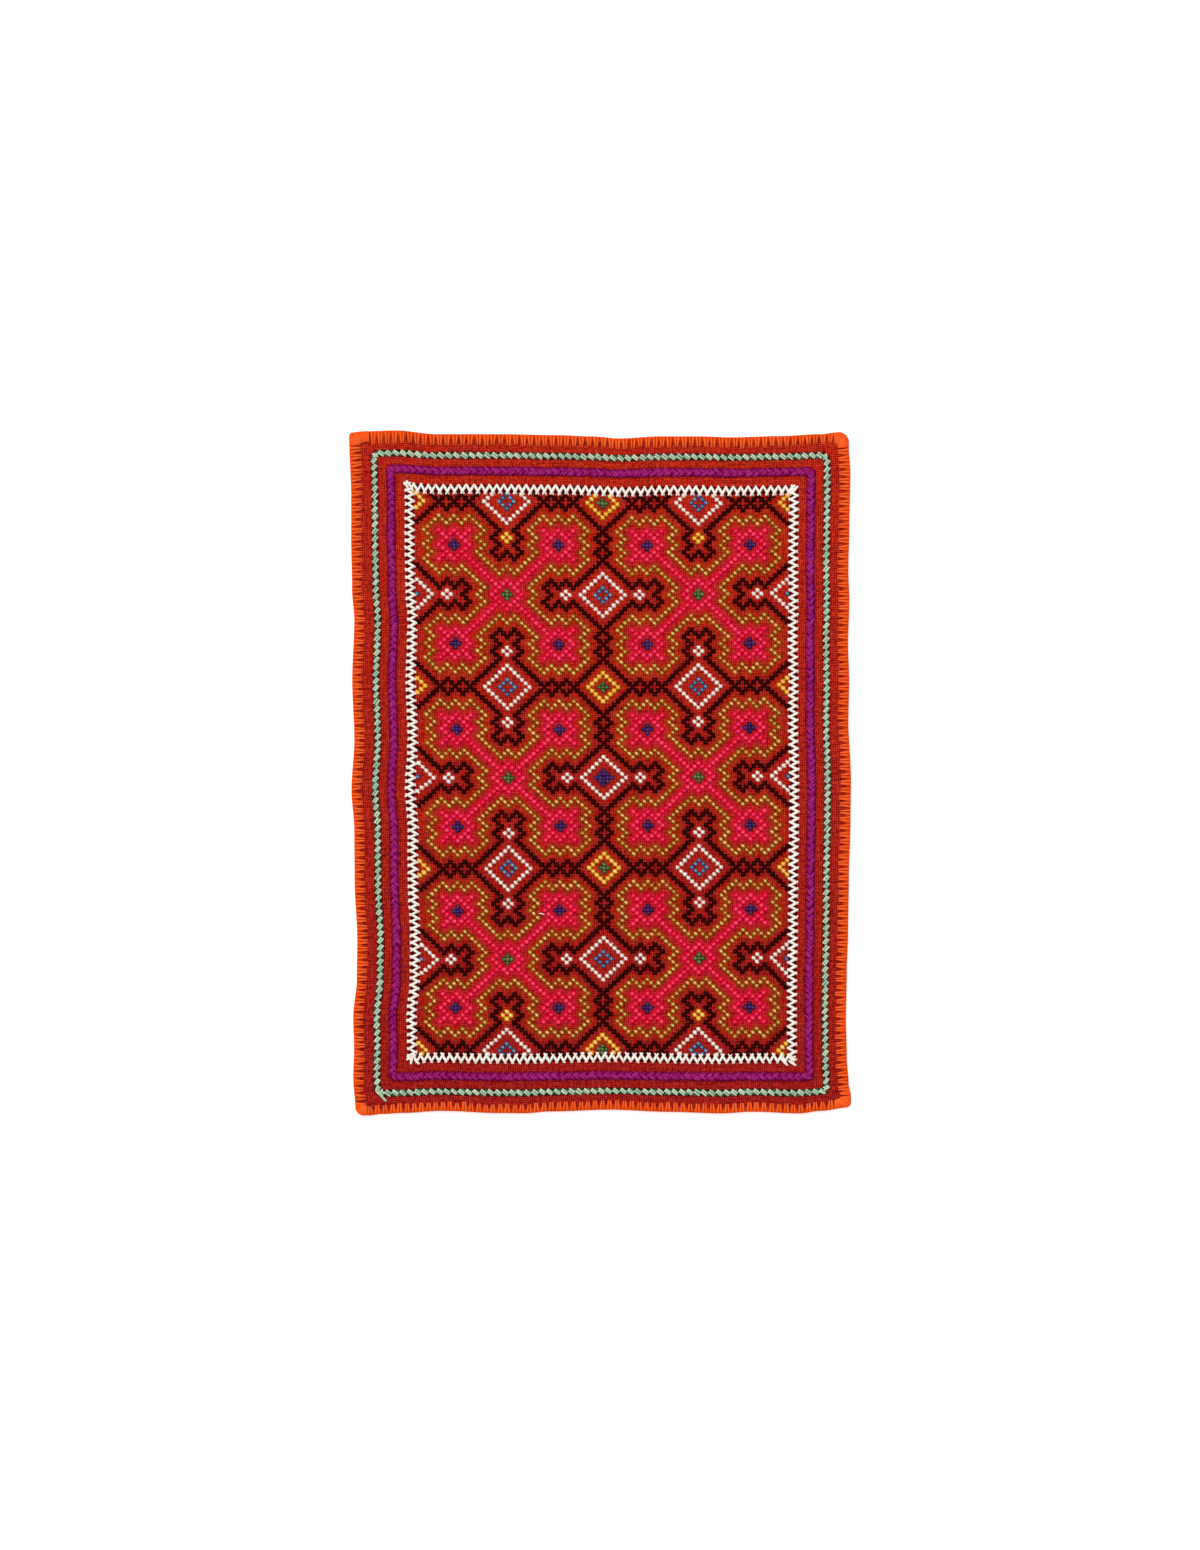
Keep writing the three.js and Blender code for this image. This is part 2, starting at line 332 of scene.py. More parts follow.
class Nodes:
    """Short calls that add nodes to one material and join them up."""

    def __init__(self, name):
        self.material = bpy.data.materials.new(name)
        self.material.use_nodes = True
        self.tree = self.material.node_tree
        self.shader = self.tree.nodes["Principled BSDF"]

    def add(self, kind, inputs=None, **settings):
        node = self.tree.nodes.new(kind)
        for key, value in settings.items():
            setattr(node, key, value)
        for key, value in (inputs or {}).items():
            self.feed(node.inputs[key], value)
        return node

    def feed(self, socket, value):
        if isinstance(value, Value):
            value = value.socket
        if isinstance(value, bpy.types.NodeSocket):
            self.tree.links.new(value, socket)
        else:
            socket.default_value = value

    def math(self, operation, a, b=0, clamp=False):
        node = self.add("ShaderNodeMath", {0: a, 1: b}, operation=operation, use_clamp=clamp)
        return Value(self, node.outputs[0])

    def most(self, a, b):
        return self.math("MAXIMUM", a, b)

    def split(self, vector):
        """The parts of a vector along x, y and z."""
        return [Value(self, output) for output in self.add("ShaderNodeSeparateXYZ", {0: vector}).outputs]

    def noise(self, vector, scale, detail=2, stretch=(1, 1, 1)):
        """Soft noise from 0 to 1, over places that may be stretched."""
        if stretch != (1, 1, 1):
            vector = self.add("ShaderNodeMapping", {"Vector": vector, "Scale": stretch}).outputs["Vector"]
        node = self.add("ShaderNodeTexNoise", {"Vector": vector, "Scale": scale, "Detail": detail})
        return Value(self, node.outputs["Fac"])

    def ramp(self, value, places, colours):
        """Colours by places from 0 to 1."""
        node = self.add("ShaderNodeValToRGB", {"Fac": value})
        elements = node.color_ramp.elements
        while len(elements) < len(places):
            elements.new(0.5)
        for element, place, colour in zip(elements, places, colours):
            element.position = place
            element.color = (*colour, 1)
        return node.outputs["Color"]

    def mix(self, share, first, second):
        """The first colour at a share of 0 and the second at 1."""
        node = self.add("ShaderNodeMix", data_type="RGBA")
        for number, value in zip((0, 6, 7), (share, first, second)):
            self.feed(node.inputs[number], value)
        return node.outputs[2]

    def attribute(self, name):
        return Value(self, self.add("ShaderNodeAttribute", attribute_name=name).outputs["Fac"])

    def give(self, inputs):
        for name, value in inputs.items():
            self.feed(self.shader.inputs[name], value)

    def fabric(self, colour, height, strength, distance, roughness):
        """Finishes the material of a fabric, with its threads as relief."""
        bump = self.add("ShaderNodeBump", {"Height": height, "Strength": strength, "Distance": distance})
        self.give({"Base Color": colour, "Normal": bump.outputs["Normal"], "Roughness": roughness,
                   "Specular IOR Level": FABRIC_SPECULAR})
        return self.material


FABRIC_SPECULAR = 0.03


def linear(colour):
    """A colour of the finished picture, 0 to 255, as the surface colour that gives it in this light."""
    def one(value):
        value /= 255
        value = value / 12.92 if value <= 0.04045 else ((value + 0.055) / 1.055) ** 2.4
        return value / LIGHT_LEVEL
    return tuple(min(one(value), LIGHTEST) for value in colour)


# How bright a white surface looks in the soft light, where 1 is the paper white of the picture
LIGHT_LEVEL = 1.2
LIGHTEST = 0.9

# Yarn colours as lit and shaded copies: deep in painted shade in the stitch, on its flanks, and as a painted
# highlight on its crown
YARNS = {
    "orange": ((184, 28, 0), (248, 84, 8), (255, 106, 50)),
    "green": ((34, 34, 14), (164, 204, 170), (246, 240, 216)),
    "purple": ((62, 0, 36), (132, 6, 84), (180, 48, 132)),
    # White's deep tone is red: painted shade with a painted reflection of the red cotton
    "white": ((178, 54, 38), (255, 232, 219), (255, 254, 248)),
    "black": ((12, 0, 0), (38, 0, 0), (70, 8, 6)),
    "pink": ((204, 0, 44), (236, 8, 62), (255, 84, 116)),
    "olive": ((70, 32, 0), (178, 112, 18), (255, 216, 138)),
    "yellow": ((160, 70, 0), (252, 178, 34), (255, 230, 140)),
    "leaf_green": ((14, 30, 16), (46, 84, 44), (120, 140, 84)),
    "indigo": ((16, 4, 32), (56, 20, 80), (88, 62, 116)),
    "steel_blue": ((24, 16, 50), (56, 90, 138), (136, 176, 200)),
}

# Where the deep, flank and crown colours sit on the tone, and how much the painted light moves the tone
YARN_TONES_AT = (0, 0.5, 0.95)
YARN_PAINTED_LIGHT = {"weight": 0.72, "base": 0.06}
PLY_TWIST = 2.6
FIBRES_PER_METRE = 5200


def yarn_material(yarn):
    """Soft two-ply yarn, twisted: painted shade where it dives into the cloth, painted highlight on its crown.
    """
    nodes = Nodes(f"{yarn}_yarn")
    place = nodes.add("ShaderNodeTexCoord").outputs
    along, around, _ = nodes.split(place["UV"])
    # The twist of the plies paints shade into the grooves between them, besides giving their bump
    ply = abs(nodes.math("SINE", (along * (1 / PLY_TWIST) + around) * math.tau))
    fibre = nodes.noise(place["Object"], FIBRES_PER_METRE)
    streak = nodes.noise(place["UV"], 1, stretch=(0.9, 9, 1))

    tone = nodes.attribute("lift") * YARN_PAINTED_LIGHT["weight"] + YARN_PAINTED_LIGHT["base"]
    for part, weight, middle in ((nodes.attribute("shade"), 0.12, 0), (ply, 0.16, 0.64), (streak, 0.5, 0.5),
                                 (fibre, 0.3, 0.5)):
        tone = tone + (part - middle) * weight
    colour = nodes.ramp(tone, YARN_TONES_AT, map(linear, YARNS[yarn]))
    return nodes.fabric(colour, ply + fibre * 0.6, strength=0.7, distance=0.00025, roughness=0.82)


# Red cotton as lit and shaded copies: painted shade between the threads, on their flanks, and a painted
# highlight on their crowns; at the cloth's bottom and top ends, lighter towards the top as painted light, and
# beside stitches of pink and of olive yarn
COTTON_TONES_AT = (0.05, 0.5, 0.95)
COTTON = {
    "bottom": ((70, 2, 4), (148, 16, 15), (202, 52, 40)),
    "top": ((84, 2, 2), (175, 25, 13), (226, 66, 38)),
    "olive": ((82, 10, 0), (166, 40, 6), (214, 86, 32)),
    "pink": ((120, 0, 16), (206, 4, 44), (240, 50, 78)),
}
COTTON_END = 0.23
THREADS_PER_CELL = 2

# How the cotton varies: tints of the stitches beside it, painted shade beside dark crosses, the wander of its
# threads, weave, slubs and mottling
TINTED_BY = {"olive": ("olived", 0.6), "pink": ("pinked", 0.85)}
PAINTED_SHADE_BESIDE_BY = 0.09
THREAD_WANDER = {"scale": 0.35, "reach": 0.5}
COTTON_VARIES = {"weave": 0.95, "slub": 0.5, "fibre": 0.4, "mottle": 1.2}
SLUB_STRETCH = (2, 0.12)
MOTTLE_SCALE = 1.2

# Painted shade on the cotton under and between the stitches of the raised rows: half the width of that, and
# how dark
ROW_PAINTED_SHADE = {"green_row": (2.4, 0.5), "purple_row": (2.8, 0.4), "white_row": (2.6, 0.85)}
ROW_PAINTED_SHADE_EDGE = 1.2

# How far a straight cut across a rounded corner stands in from it, as a share of the radius
CORNER_CUT = 2 - math.sqrt(2)


def row_painted_shade(nodes, across, up):
    """How much painted shade the raised rows lay on the cotton, from 0 to 1, at places in stitches."""
    x = (across - (0.5 - PANEL_X / CELL_WIDTH)) * CELL_WIDTH
    y = (up - (0.5 - PANEL_Y / CELL_HEIGHT)) * CELL_HEIGHT
    total = 0
    for name, (half, depth) in ROW_PAINTED_SHADE.items():
        row = ROWS[name]
        level = nodes.most(row["left"] - x, x - row["right"])
        upright = nodes.most(row["bottom"] - y, y - row["top"])
        corner = (level + upright + CORNER_CUT * row["radius"]) * math.sqrt(0.5)
        distance = abs(nodes.most(nodes.most(level, upright), corner)) * (1 / ROW_PAINTED_SHADE_EDGE)
        inside = nodes.math("SUBTRACT", half / ROW_PAINTED_SHADE_EDGE + 0.5, distance, clamp=True)
        total = nodes.most(total, inside * depth)
    return total


def woven(nodes, uv):
    """The height of the weave, 0 to 1: warp and weft pass over each other in turn, and wander a little."""
    noise = nodes.add("ShaderNodeTexNoise", {"Vector": uv, "Scale": THREAD_WANDER["scale"], "Detail": 2})
    places = noise.outputs["Color"]
    for operation, inputs in (("SUBTRACT", {1: (0.5, 0.5, 0.5)}), ("SCALE", {"Scale": THREAD_WANDER["reach"]}),
                              ("ADD", {1: uv})):
        places = nodes.add("ShaderNodeVectorMath", {0: places, **inputs}, operation=operation).outputs[0]
    across, up, _ = nodes.split(places)
    warp, weft = (nodes.math("SINE", way * (math.pi * THREADS_PER_CELL)) for way in (across, up))
    over = warp * weft * 0.4
    return nodes.most(abs(warp) * (over + 0.6), abs(weft) * (0.6 - over))


def cotton_material():
    """Even-weave red cotton, two threads to a stitch."""
    nodes = Nodes("red_cotton")
    place = nodes.add("ShaderNodeTexCoord").outputs
    uv = place["UV"]
    across, up, _ = nodes.split(uv)
    weave = woven(nodes, uv)
    fibre = nodes.noise(place["Object"], FIBRES_PER_METRE)
    # Painted shade of the raised rows, on the face only
    shade_by_rows = row_painted_shade(nodes, across, up) * nodes.attribute("face")
    # Tone: painted shade between threads, painted highlight on their crowns, less painted shade from rows and
    # dark crosses
    tone = weave * COTTON_VARIES["weave"] - nodes.most(shade_by_rows, nodes.attribute("painted_shade_beside") * PAINTED_SHADE_BESIDE_BY)
    for kind, part in (("slub", nodes.noise(uv, 1, stretch=(*SLUB_STRETCH, 1))),
                       ("slub", nodes.noise(uv, 1, stretch=(*SLUB_STRETCH[::-1], 1))),
                       ("fibre", fibre), ("mottle", nodes.noise(uv, MOTTLE_SCALE, detail=3))):
        tone = tone + (part - 0.5) * COTTON_VARIES[kind]

    colours = {name: nodes.ramp(tone, COTTON_TONES_AT, map(linear, tones)) for name, tones in COTTON.items()}
    # Painted light: the cotton grows lighter and more orange from its bottom end to its top end
    _, height, _ = nodes.split(place["Object"])
    share = nodes.add("ShaderNodeMapRange", {"Value": height, "From Min": -COTTON_END, "From Max": COTTON_END})
    colour = nodes.mix(share.outputs[0], colours["bottom"], colours["top"])
    for name, (attribute, strength) in TINTED_BY.items():
        colour = nodes.mix(nodes.attribute(attribute) * strength, colour, colours[name])
    return nodes.fabric(colour, weave + fibre * 0.25, strength=0.8, distance=0.0004, roughness=0.88)


# The ground cloth

def corner_inset(x, y):
    """How far the rounded corners draw the straight outline in, across x."""
    inset = np.zeros_like(x)
    for (sign_x, sign_y), corner in CORNERS.items():
        line_y = SIDES["bottom" if sign_y < 0 else "top"]["line"]
        near = (np.sign(x) == sign_x) & (np.sign(y) == sign_y)
        inset += np.where(near, sign_x * rounding_drop(corner["radius"], np.abs(y - line_y)), 0)
    return inset


# The narrowest strip that may lie between an end and the next line between stitches, in stitches
NARROWEST = 0.3


def cell_lines(low, high, origin, pitch):
    """The lines between stitches from low to high, with the two ends themselves."""
    first = math.ceil((low - origin) / pitch + 0.5 + NARROWEST)
    last = math.floor((high - origin) / pitch + 0.5 - NARROWEST)
    inner = origin + (np.arange(first, last + 1) - 0.5) * pitch
    return np.concatenate([[low], inner, [high]])


RIPPLE_HEIGHT = 0.12
RIPPLE_LENGTHS = ((61, 83, 0.4), (37, -52, 1.9), (-94, 41, 3.1))

# How much of its ripple the cloth has on the underside
UNDERSIDE_RIPPLE = 0.5


def ripple(x, y):
    """The slight rise and fall of a cloth that was drawn up by its stitches."""
    total = np.zeros_like(x)
    for length_x, length_y, phase in RIPPLE_LENGTHS:
        total += np.sin(math.tau * (x / length_x + y / length_y) + phase)
    return RIPPLE_HEIGHT * total / len(RIPPLE_LENGTHS)


# The yarns whose crosses colour the cotton beside them, by the attribute that says so, and how strongly: pink
# and olive tints, and painted shade beside black, olive and indigo crosses
BESIDE = {
    "pinked": {"pink": 2},
    "olived": {"olive": 2, "yellow": 2},
    "painted_shade_beside": {"black": 1.6, "olive": 0.6, "indigo": 1},
}
BESIDE_SPREAD = 0.35
CHART_MARGIN = 90


def beside_stitches(lines, yarns):
    """How much some yarns' crosses tint or paint shade on the cotton, 0 to 1, where the lines between stitches
    cross.
    """
    worked_cells = np.zeros((2 * CHART_MARGIN, 2 * CHART_MARGIN))
    for (cell_x, cell_y), yarn in panel_chart().items():
        worked_cells[cell_x + CHART_MARGIN, cell_y + CHART_MARGIN] = yarns.get(yarn, 0)
    x, y = np.moveaxis(np.clip(lines + CHART_MARGIN, 1, 2 * CHART_MARGIN - 1), -1, 0)
    around = sum(worked_cells[x - left, y - down] for left in (0, 1) for down in (0, 1)) / 4
    spread = around.copy()
    level, upright = around[:-2, 1:-1] + around[2:, 1:-1], around[1:-1, :-2] + around[1:-1, 2:]
    spread[1:-1, 1:-1] += BESIDE_SPREAD * (level + upright)
    return np.clip(spread, 0, 1)


# How far in from the outline the rim eases into the cloth
RIM_EASE = 8


def ground_cloth():
    """The woven ground, a grid with one square to a stitch, its rim held up inside the edging."""
    left, right = SIDES["left"]["line"] + EDGING_WALL, SIDES["right"]["line"] - EDGING_WALL
    bottom, top = SIDES["bottom"]["line"] + EDGING_WALL, SIDES["top"]["line"] - EDGING_WALL
    xs = cell_lines(left, right, PANEL_X, CELL_WIDTH)
    ys = cell_lines(bottom, top, PANEL_Y, CELL_HEIGHT)
    x, y = np.meshgrid(xs, ys, indexing="ij")
    from_side = np.minimum(x - left, right - x)
    at_edge = ease(1 - np.minimum(from_side, np.minimum(y - bottom, top - y)) / RIM_EASE)
    inset = corner_inset(x, y) * ease(1 - from_side / RIM_EASE)
    plan = worked(np.stack([x - inset, y], axis=-1))
    rise = ripple(x, y) * (1 - at_edge)
    underside = CLOTH_UNDERSIDE + (RIM_UNDERSIDE - CLOTH_UNDERSIDE) * at_edge + UNDERSIDE_RIPPLE * rise
    sheets = [np.dstack([plan, height]).reshape(-1, 3) for height in (CLOTH_TOP + rise, underside)]

    number = np.arange(x.size).reshape(x.shape)
    face_quads = np.stack([number[:-1, :-1], number[1:, :-1], number[1:, 1:], number[:-1, 1:]], axis=-1)
    face_quads = face_quads.reshape(-1, 4)
    rim = np.concatenate([number[:, 0], number[-1, 1:], number[-2::-1, -1], number[0, -2:0:-1]])
    following = np.roll(rim, -1)
    rim_quads = np.stack([rim + x.size, following + x.size, following, rim], axis=-1)
    quads = np.concatenate([face_quads, face_quads[:, ::-1] + x.size, rim_quads])

    in_cells = (np.stack([x, y], axis=-1) - PANEL) / CELL + 0.5
    point_uv = np.concatenate([in_cells.reshape(-1, 2)] * 2)
    lines = np.rint(in_cells).astype(int)
    values = {label: beside_stitches(lines, yarns) for label, yarns in BESIDE.items()}
    values["face"] = np.ones_like(x)
    values = {label: np.concatenate([value.ravel(), np.zeros(value.size)]) for label, value in values.items()}
    piece = mesh_object("woven_ground", np.concatenate(sheets), [(quads, point_uv[quads])], values)
    piece.data.materials.append(cotton_material())
    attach(piece, BODY)
    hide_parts("ground_cloth")
    return piece


# The counted panel

PANEL_CELLS = {"left": -50, "right": 50, "bottom": -79, "top": 80}
REPEAT = 52

# Diagonal runs of crosses by their turning points, in stitches from a motif's middle
PETAL_RUN = [(8, 0), (6, 2), (12, 8), (14, 6), (16, 8), (18, 6), (22, 10), (20, 12), (22, 14), (20, 16),
             (22, 18), (20, 20)]
BOW_RUN = [(0, 10), (8, 2), (10, 4), (12, 2), (14, 4), (16, 2), (14, 0)]
BAND_RUN = [(8, 0), (10, 2), (12, 0), (14, 2), (16, 0)]


def run(turns):
    """Every cell of a diagonal run, from turning point to turning point."""
    cells = [turns[0]]
    for (x0, y0), (x1, y1) in zip(turns, turns[1:]):
        steps = max(abs(x1 - x0), abs(y1 - y0))
        for step in range(1, steps + 1):
            cells.append((x0 + (x1 - x0) * step // steps, y0 + (y1 - y0) * step // steps))
    return cells


def mirrored(cells, swap=False):
    """The cells in all four quarters, and with swap in all eight half-quarters."""
    quarter = cells + [(y, x) for x, y in cells] if swap else cells
    return [(x * sign_x, y * sign_y) for x, y in quarter for sign_x in (1, -1) for sign_y in (1, -1)]


def ring(distance):
    return mirrored(run([(distance, 0), (0, distance)]))


def moved(cells, x, y):
    return [(cell_x + x, cell_y + y) for cell_x, cell_y in cells]


def turned(cells):
    return [(y, x) for x, y in cells]


PLUS = [(0, 0), (1, 0), (-1, 0), (0, 1), (0, -1)]
PETALS = PLUS[1:]


def cross_flower():
    """The large flower: a middle, four arms and four small flowers inside a lobed outline."""
    yield "leaf_green", PLUS
    yield "pink", ring(4)
    yield "pink", mirrored([(step, step) for step in range(3, 12)])
    for corner_x, corner_y in mirrored([(14, 14)]):
        yield "indigo", moved(PLUS, corner_x, corner_y)
        yield "pink", moved(ring(4), corner_x, corner_y)
        yield "pink", moved(mirrored([(3, 3), (4, 4)]), corner_x, corner_y)
    yield "olive", mirrored(run(PETAL_RUN), swap=True)


def white_diamond(upright, filled, petal_yarns):
    """The white diamond with a small flower at each end, in a black bow that lies or stands."""
    turn = turned if upright else list
    yield "white", ring(6)
    if filled:
        yield "indigo", PLUS + ring(2)
    else:
        yield "steel_blue", ring(2)
    for side, yarn in zip((-10, 10), petal_yarns):
        yield yarn, turn(moved(PETALS, side, 0))
    yield "black", turn(mirrored(run(BOW_RUN)))


def yellow_diamond(upright_bands):
    """The yellow diamond in a black one, from which bands of small diamonds leave, level and upright."""
    yield "leaf_green", PLUS
    yield "yellow", ring(4)
    yield "black", ring(8)
    yield "black", mirrored(run(BAND_RUN), swap=upright_bands)


def panel_chart():
    """The yarn of each cell of the panel, by the cell's place from the panel's middle."""
    whole = (-REPEAT, 0, REPEAT)
    halves = (-78, -26, 26, 78)
    motifs = []
    for side in (-26, 26):
        motifs += [(side, row, cross_flower()) for row in whole]
        for row in halves:
            ends = ["yellow" if row == edge else "white" for edge in (78, -78)]
            motifs.append((side, row, white_diamond(True, False, ends)))
    for side in whole:
        for row in whole:
            motifs.append((side, row, white_diamond(False, side == row == 0, ("white", "white"))))
        motifs += [(side, row, yellow_diamond(upright_bands=side == 0)) for row in halves]
    chart = {}
    for x, y, parts in motifs:
        for yarn, cells in parts:
            for cell_x, cell_y in moved(cells, x, y):
                if (PANEL_CELLS["left"] <= cell_x <= PANEL_CELLS["right"]
                        and PANEL_CELLS["bottom"] <= cell_y <= PANEL_CELLS["top"]):
                    chart[(cell_x, cell_y)] = yarn
    return chart


# The two strands of a cross by the way they run, the rising one and the falling one over it; their painted
# light puts a painted highlight where the upper strand crosses and painted shade at the ends
CROSS_SHARES = np.array([0, 0.1, 0.5, 0.9, 1])
CROSS_WIDTHS = np.array([0, 0.74, 0.94, 0.74, 0])
CROSS_STRANDS = {
    (1, 1): Profile(CROSS_SHARES, np.array([-0.4, 0.1, 0.3, 0.1, -0.4]), CROSS_WIDTHS, 0.44,
                    (0, 0.28, 0.5, 0.28, 0)),
    (1, -1): Profile(CROSS_SHARES, np.array([-0.4, 0.2, 0.84, 0.2, -0.4]), CROSS_WIDTHS, 0.44,
                     (0, 0.38, 1.1, 0.38, 0)),
}
CROSS_SIZES = {
    "pink": {"width": 1.32, "reach": 1.16},
    "black": {"width": 1.12, "reach": 1.24},
    "olive": {"width": 0.94, "reach": 1.12},
    "yellow": {"width": 1.14, "reach": 1.14},
    "white": {"width": 0.98, "reach": 1},
    "indigo": {"width": 1.16, "reach": 1.12},
    "leaf_green": {"width": 1.12, "reach": 1.1},
}
USUAL_CROSS = {"width": 1, "reach": 1.06}
HAND_WANDER = 0.1
HAND_WIDTH = 0.08

# The bar that a cross leaves on the underside
BAR_SHARES = np.array([-0.52, -0.4, 0.4, 0.52])
BAR_WIDTHS = (0, 0.42, 0.42, 0)
BAR_THICKNESS = 0.11
# Painted light along a bar: painted shade at its ends, where it goes into the cloth
BAR_PAINTED_LIGHT = (0.1, 0.5, 0.5, 0.1)


def crosses(cells, seed, size):
    """The two strands of each cross, and its bar on the underside."""
    rng = np.random.default_rng(seed)
    middles = PANEL + np.array(sorted(cells), dtype=float) * CELL
    strands = Strands()
    for way, strand in CROSS_STRANDS.items():
        offsets = (2 * strand.shares - 1)[:, None] * (size["reach"] * CELL / 2) * np.array(way)
        plan = worked(middles[:, None] + offsets + rng.normal(0, HAND_WANDER, (len(cells), 1, 2)))
        heights = strand.heights + ripple(plan[..., 0], plan[..., 1])
        widths = size["width"] * strand.widths * (1 + rng.normal(0, HAND_WIDTH, (len(cells), 1)))
        strand = strand._replace(heights=heights, widths=widths)
        strands.lay_over(plan, strand, rng.uniform(-1, 1, len(cells)))
    beside = middles - CELL * (0.5, 0)
    strands.lay_bars(worked(beside[:, None] + CELL * (0, 1) * BAR_SHARES[:, None]))
    return strands


# A loose end of white thread that lies on the panel: where it runs, and how far it bows
LOOSE_END = {"yarn": "white", "from": (-41.8, -95.2), "to": (-37.2, -96.5), "bow": 0.5}
LOOSE_STRAND = Profile(np.linspace(0, 1, 5), np.array([0.4, 1, 1.3, 1.1, 0.7]), (0, 0.34, 0.42, 0.4, 0),
                       0.3, 0.9)


def on_line(start, end, shares):
    """Places at shares of the way from start to end."""
    start, end = np.array(start), np.array(end)
    return start + (end - start) * shares[:, None]


def lay_loose_end(strands):
    shares = LOOSE_STRAND.shares
    bow = np.array([0, LOOSE_END["bow"]]) * np.sin(math.pi * shares)[:, None]
    strands.lay_over(on_line(LOOSE_END["from"], LOOSE_END["to"], shares) + bow, LOOSE_STRAND)


def embroider_panel():
    by_yarn = {}
    for cell, yarn in panel_chart().items():
        by_yarn.setdefault(yarn, []).append(cell)
    for seed, yarn in enumerate(sorted(by_yarn)):
        strands = crosses(by_yarn[yarn], seed, CROSS_SIZES.get(yarn, USUAL_CROSS))
        if yarn == LOOSE_END["yarn"]:
            lay_loose_end(strands)
        strands.make(f"{yarn}_crosses", yarn)


# The raised rows

PATH_STEP = 0.5
ARC_POINTS = 9
SIDES_CLOCKWISE = ("left", "top", "right", "bottom")
CORNERS_CLOCKWISE = (("left", "bottom"), ("left", "top"), ("right", "top"), ("right", "bottom"))
CORNER_EASE = 2

# Two stitches of the panel go to one of a raised row
ROW_PITCH = 2


class RowPath:
    """The middle line of a raised row, run clockwise from its lower left corner and measured in stitches."""

    def __init__(self, row):
        radius = row["radius"]
        arcs = []
        for quarter, sides in enumerate(CORNERS_CLOCKWISE):
            corner = np.array([row[side] for side in sides])
            angles = np.radians(np.linspace(270, 180, ARC_POINTS) - 90 * quarter)
            round_corner = radius * np.stack([np.cos(angles), np.sin(angles)], axis=-1)
            arcs.append(corner - radius * np.sign(corner) + round_corner)
        outline = np.concatenate(arcs + [arcs[0][:1]])
        pieces = []
        counts = [0]
        for start, end in zip(outline, outline[1:]):
            count = max(int(np.linalg.norm(end - start) / PATH_STEP), 1)
            pieces.append(start + (end - start) * np.arange(count)[:, None] / count)
            counts.append(counts[-1] + count)
        self.points = np.concatenate(pieces + [outline[-1:]])
        in_cells = np.abs(np.diff(self.points, axis=0)) / CELL
        in_pitches = np.sum(in_cells, axis=1) / ROW_PITCH
        self.stitches = round(float(in_pitches.sum()))
        self.marks = np.concatenate([[0], np.cumsum(in_pitches)]) * self.stitches / in_pitches.sum()
        self.corner_marks = [self.marks[counts[corner * ARC_POINTS + ARC_POINTS // 2]] for corner in range(4)]

    def by_side(self, values, marks):
        """A value of each side, at places along the row, easing over round the corners."""
        places, levels = [], []
        for number, corner in enumerate(self.corner_marks):
            places += [corner - CORNER_EASE, corner + CORNER_EASE]
            levels += [values[SIDES_CLOCKWISE[number - 1]], values[SIDES_CLOCKWISE[number]]]
        return np.interp(marks, places, levels, period=self.stitches)

    def at(self, marks, outwards):
        """Points at places along the row in stitches, and at distances outwards from its middle line."""
        way = unit(self.middle(marks + 0.05) - self.middle(marks - 0.05))
        out = np.stack([-way[..., 1], way[..., 0]], axis=-1)
        return self.middle(marks) + out * np.asarray(outwards)[..., None]

    def middle(self, marks):
        wrapped = np.mod(marks, self.stitches)
        return np.stack([np.interp(wrapped, self.marks, self.points[:, way]) for way in (0, 1)], axis=-1)


def lay_row(strands, path, rng, starts, advance, sides, profile, offset=0, uneven=1):
    """Lays one slanting strand for each start, from one side of the row to the other as it advances."""
    count = len(starts)
    from_side, to_side = sides
    hand = rng.normal(0, 0.02 * uneven, (count, 1))
    marks = starts[:, None] + np.broadcast_to(advance, count)[:, None] * profile.shares + hand + offset
    outwards = from_side + (to_side - from_side) * profile.shares + rng.normal(0, 0.1 * uneven, (count, 1))
    heights = profile.heights + rng.normal(0, 0.03 * uneven, (count, 1))
    widths = profile.widths * (1 + rng.normal(0, 0.06, (count, 1)))
    profile = profile._replace(heights=heights, widths=widths)
    strands.lay_over(worked(path.at(marks, outwards)), profile, rng.uniform(-1, 1, count))


# The length of the stitches that a raised row leaves on the underside, as a share of its own
BACK_STITCH = 0.55


def row_back(strands, path, half):
    """The short stitches on the underside, along both edges of a raised row."""
    marks = np.arange(path.stitches)[:, None] + BACK_STITCH * BAR_SHARES
    for outwards in (-half, half):
        strands.lay_bars(worked(path.at(marks, outwards)))


# The green lozenges: how far each advances, in stitches, and reaches out, the place of its plies, the dark
# strands that show between them as painted shade, and the loose tail
GREEN_ADVANCE = 0.8
GREEN_HALF = 1.5
GREEN_PLY = {"along": 0.085, "outwards": 0.58}
GREEN_SHADE_UNDER = {"half": 2.1, "along": 0.12, "height": 0.2, "thickness": 0.25, "lift": -0.06}
GREEN_TAIL = {"from": (-152, -215), "to": (-145.6, -221.2), "width": 0.8}
# A lozenge's painted light peaks near both ends: a painted highlight at each end
GREEN_STRAND = Profile(np.array([0, 0.07, 0.32, 0.68, 0.93, 1]), np.array([0.2, 0.55, 0.8, 0.76, 0.5, 0.15]),
                       np.array([0, 0.6, 0.76, 0.76, 0.6, 0]), 0.5, (0.7, 1, 0.64, 0.64, 1, 0.7))


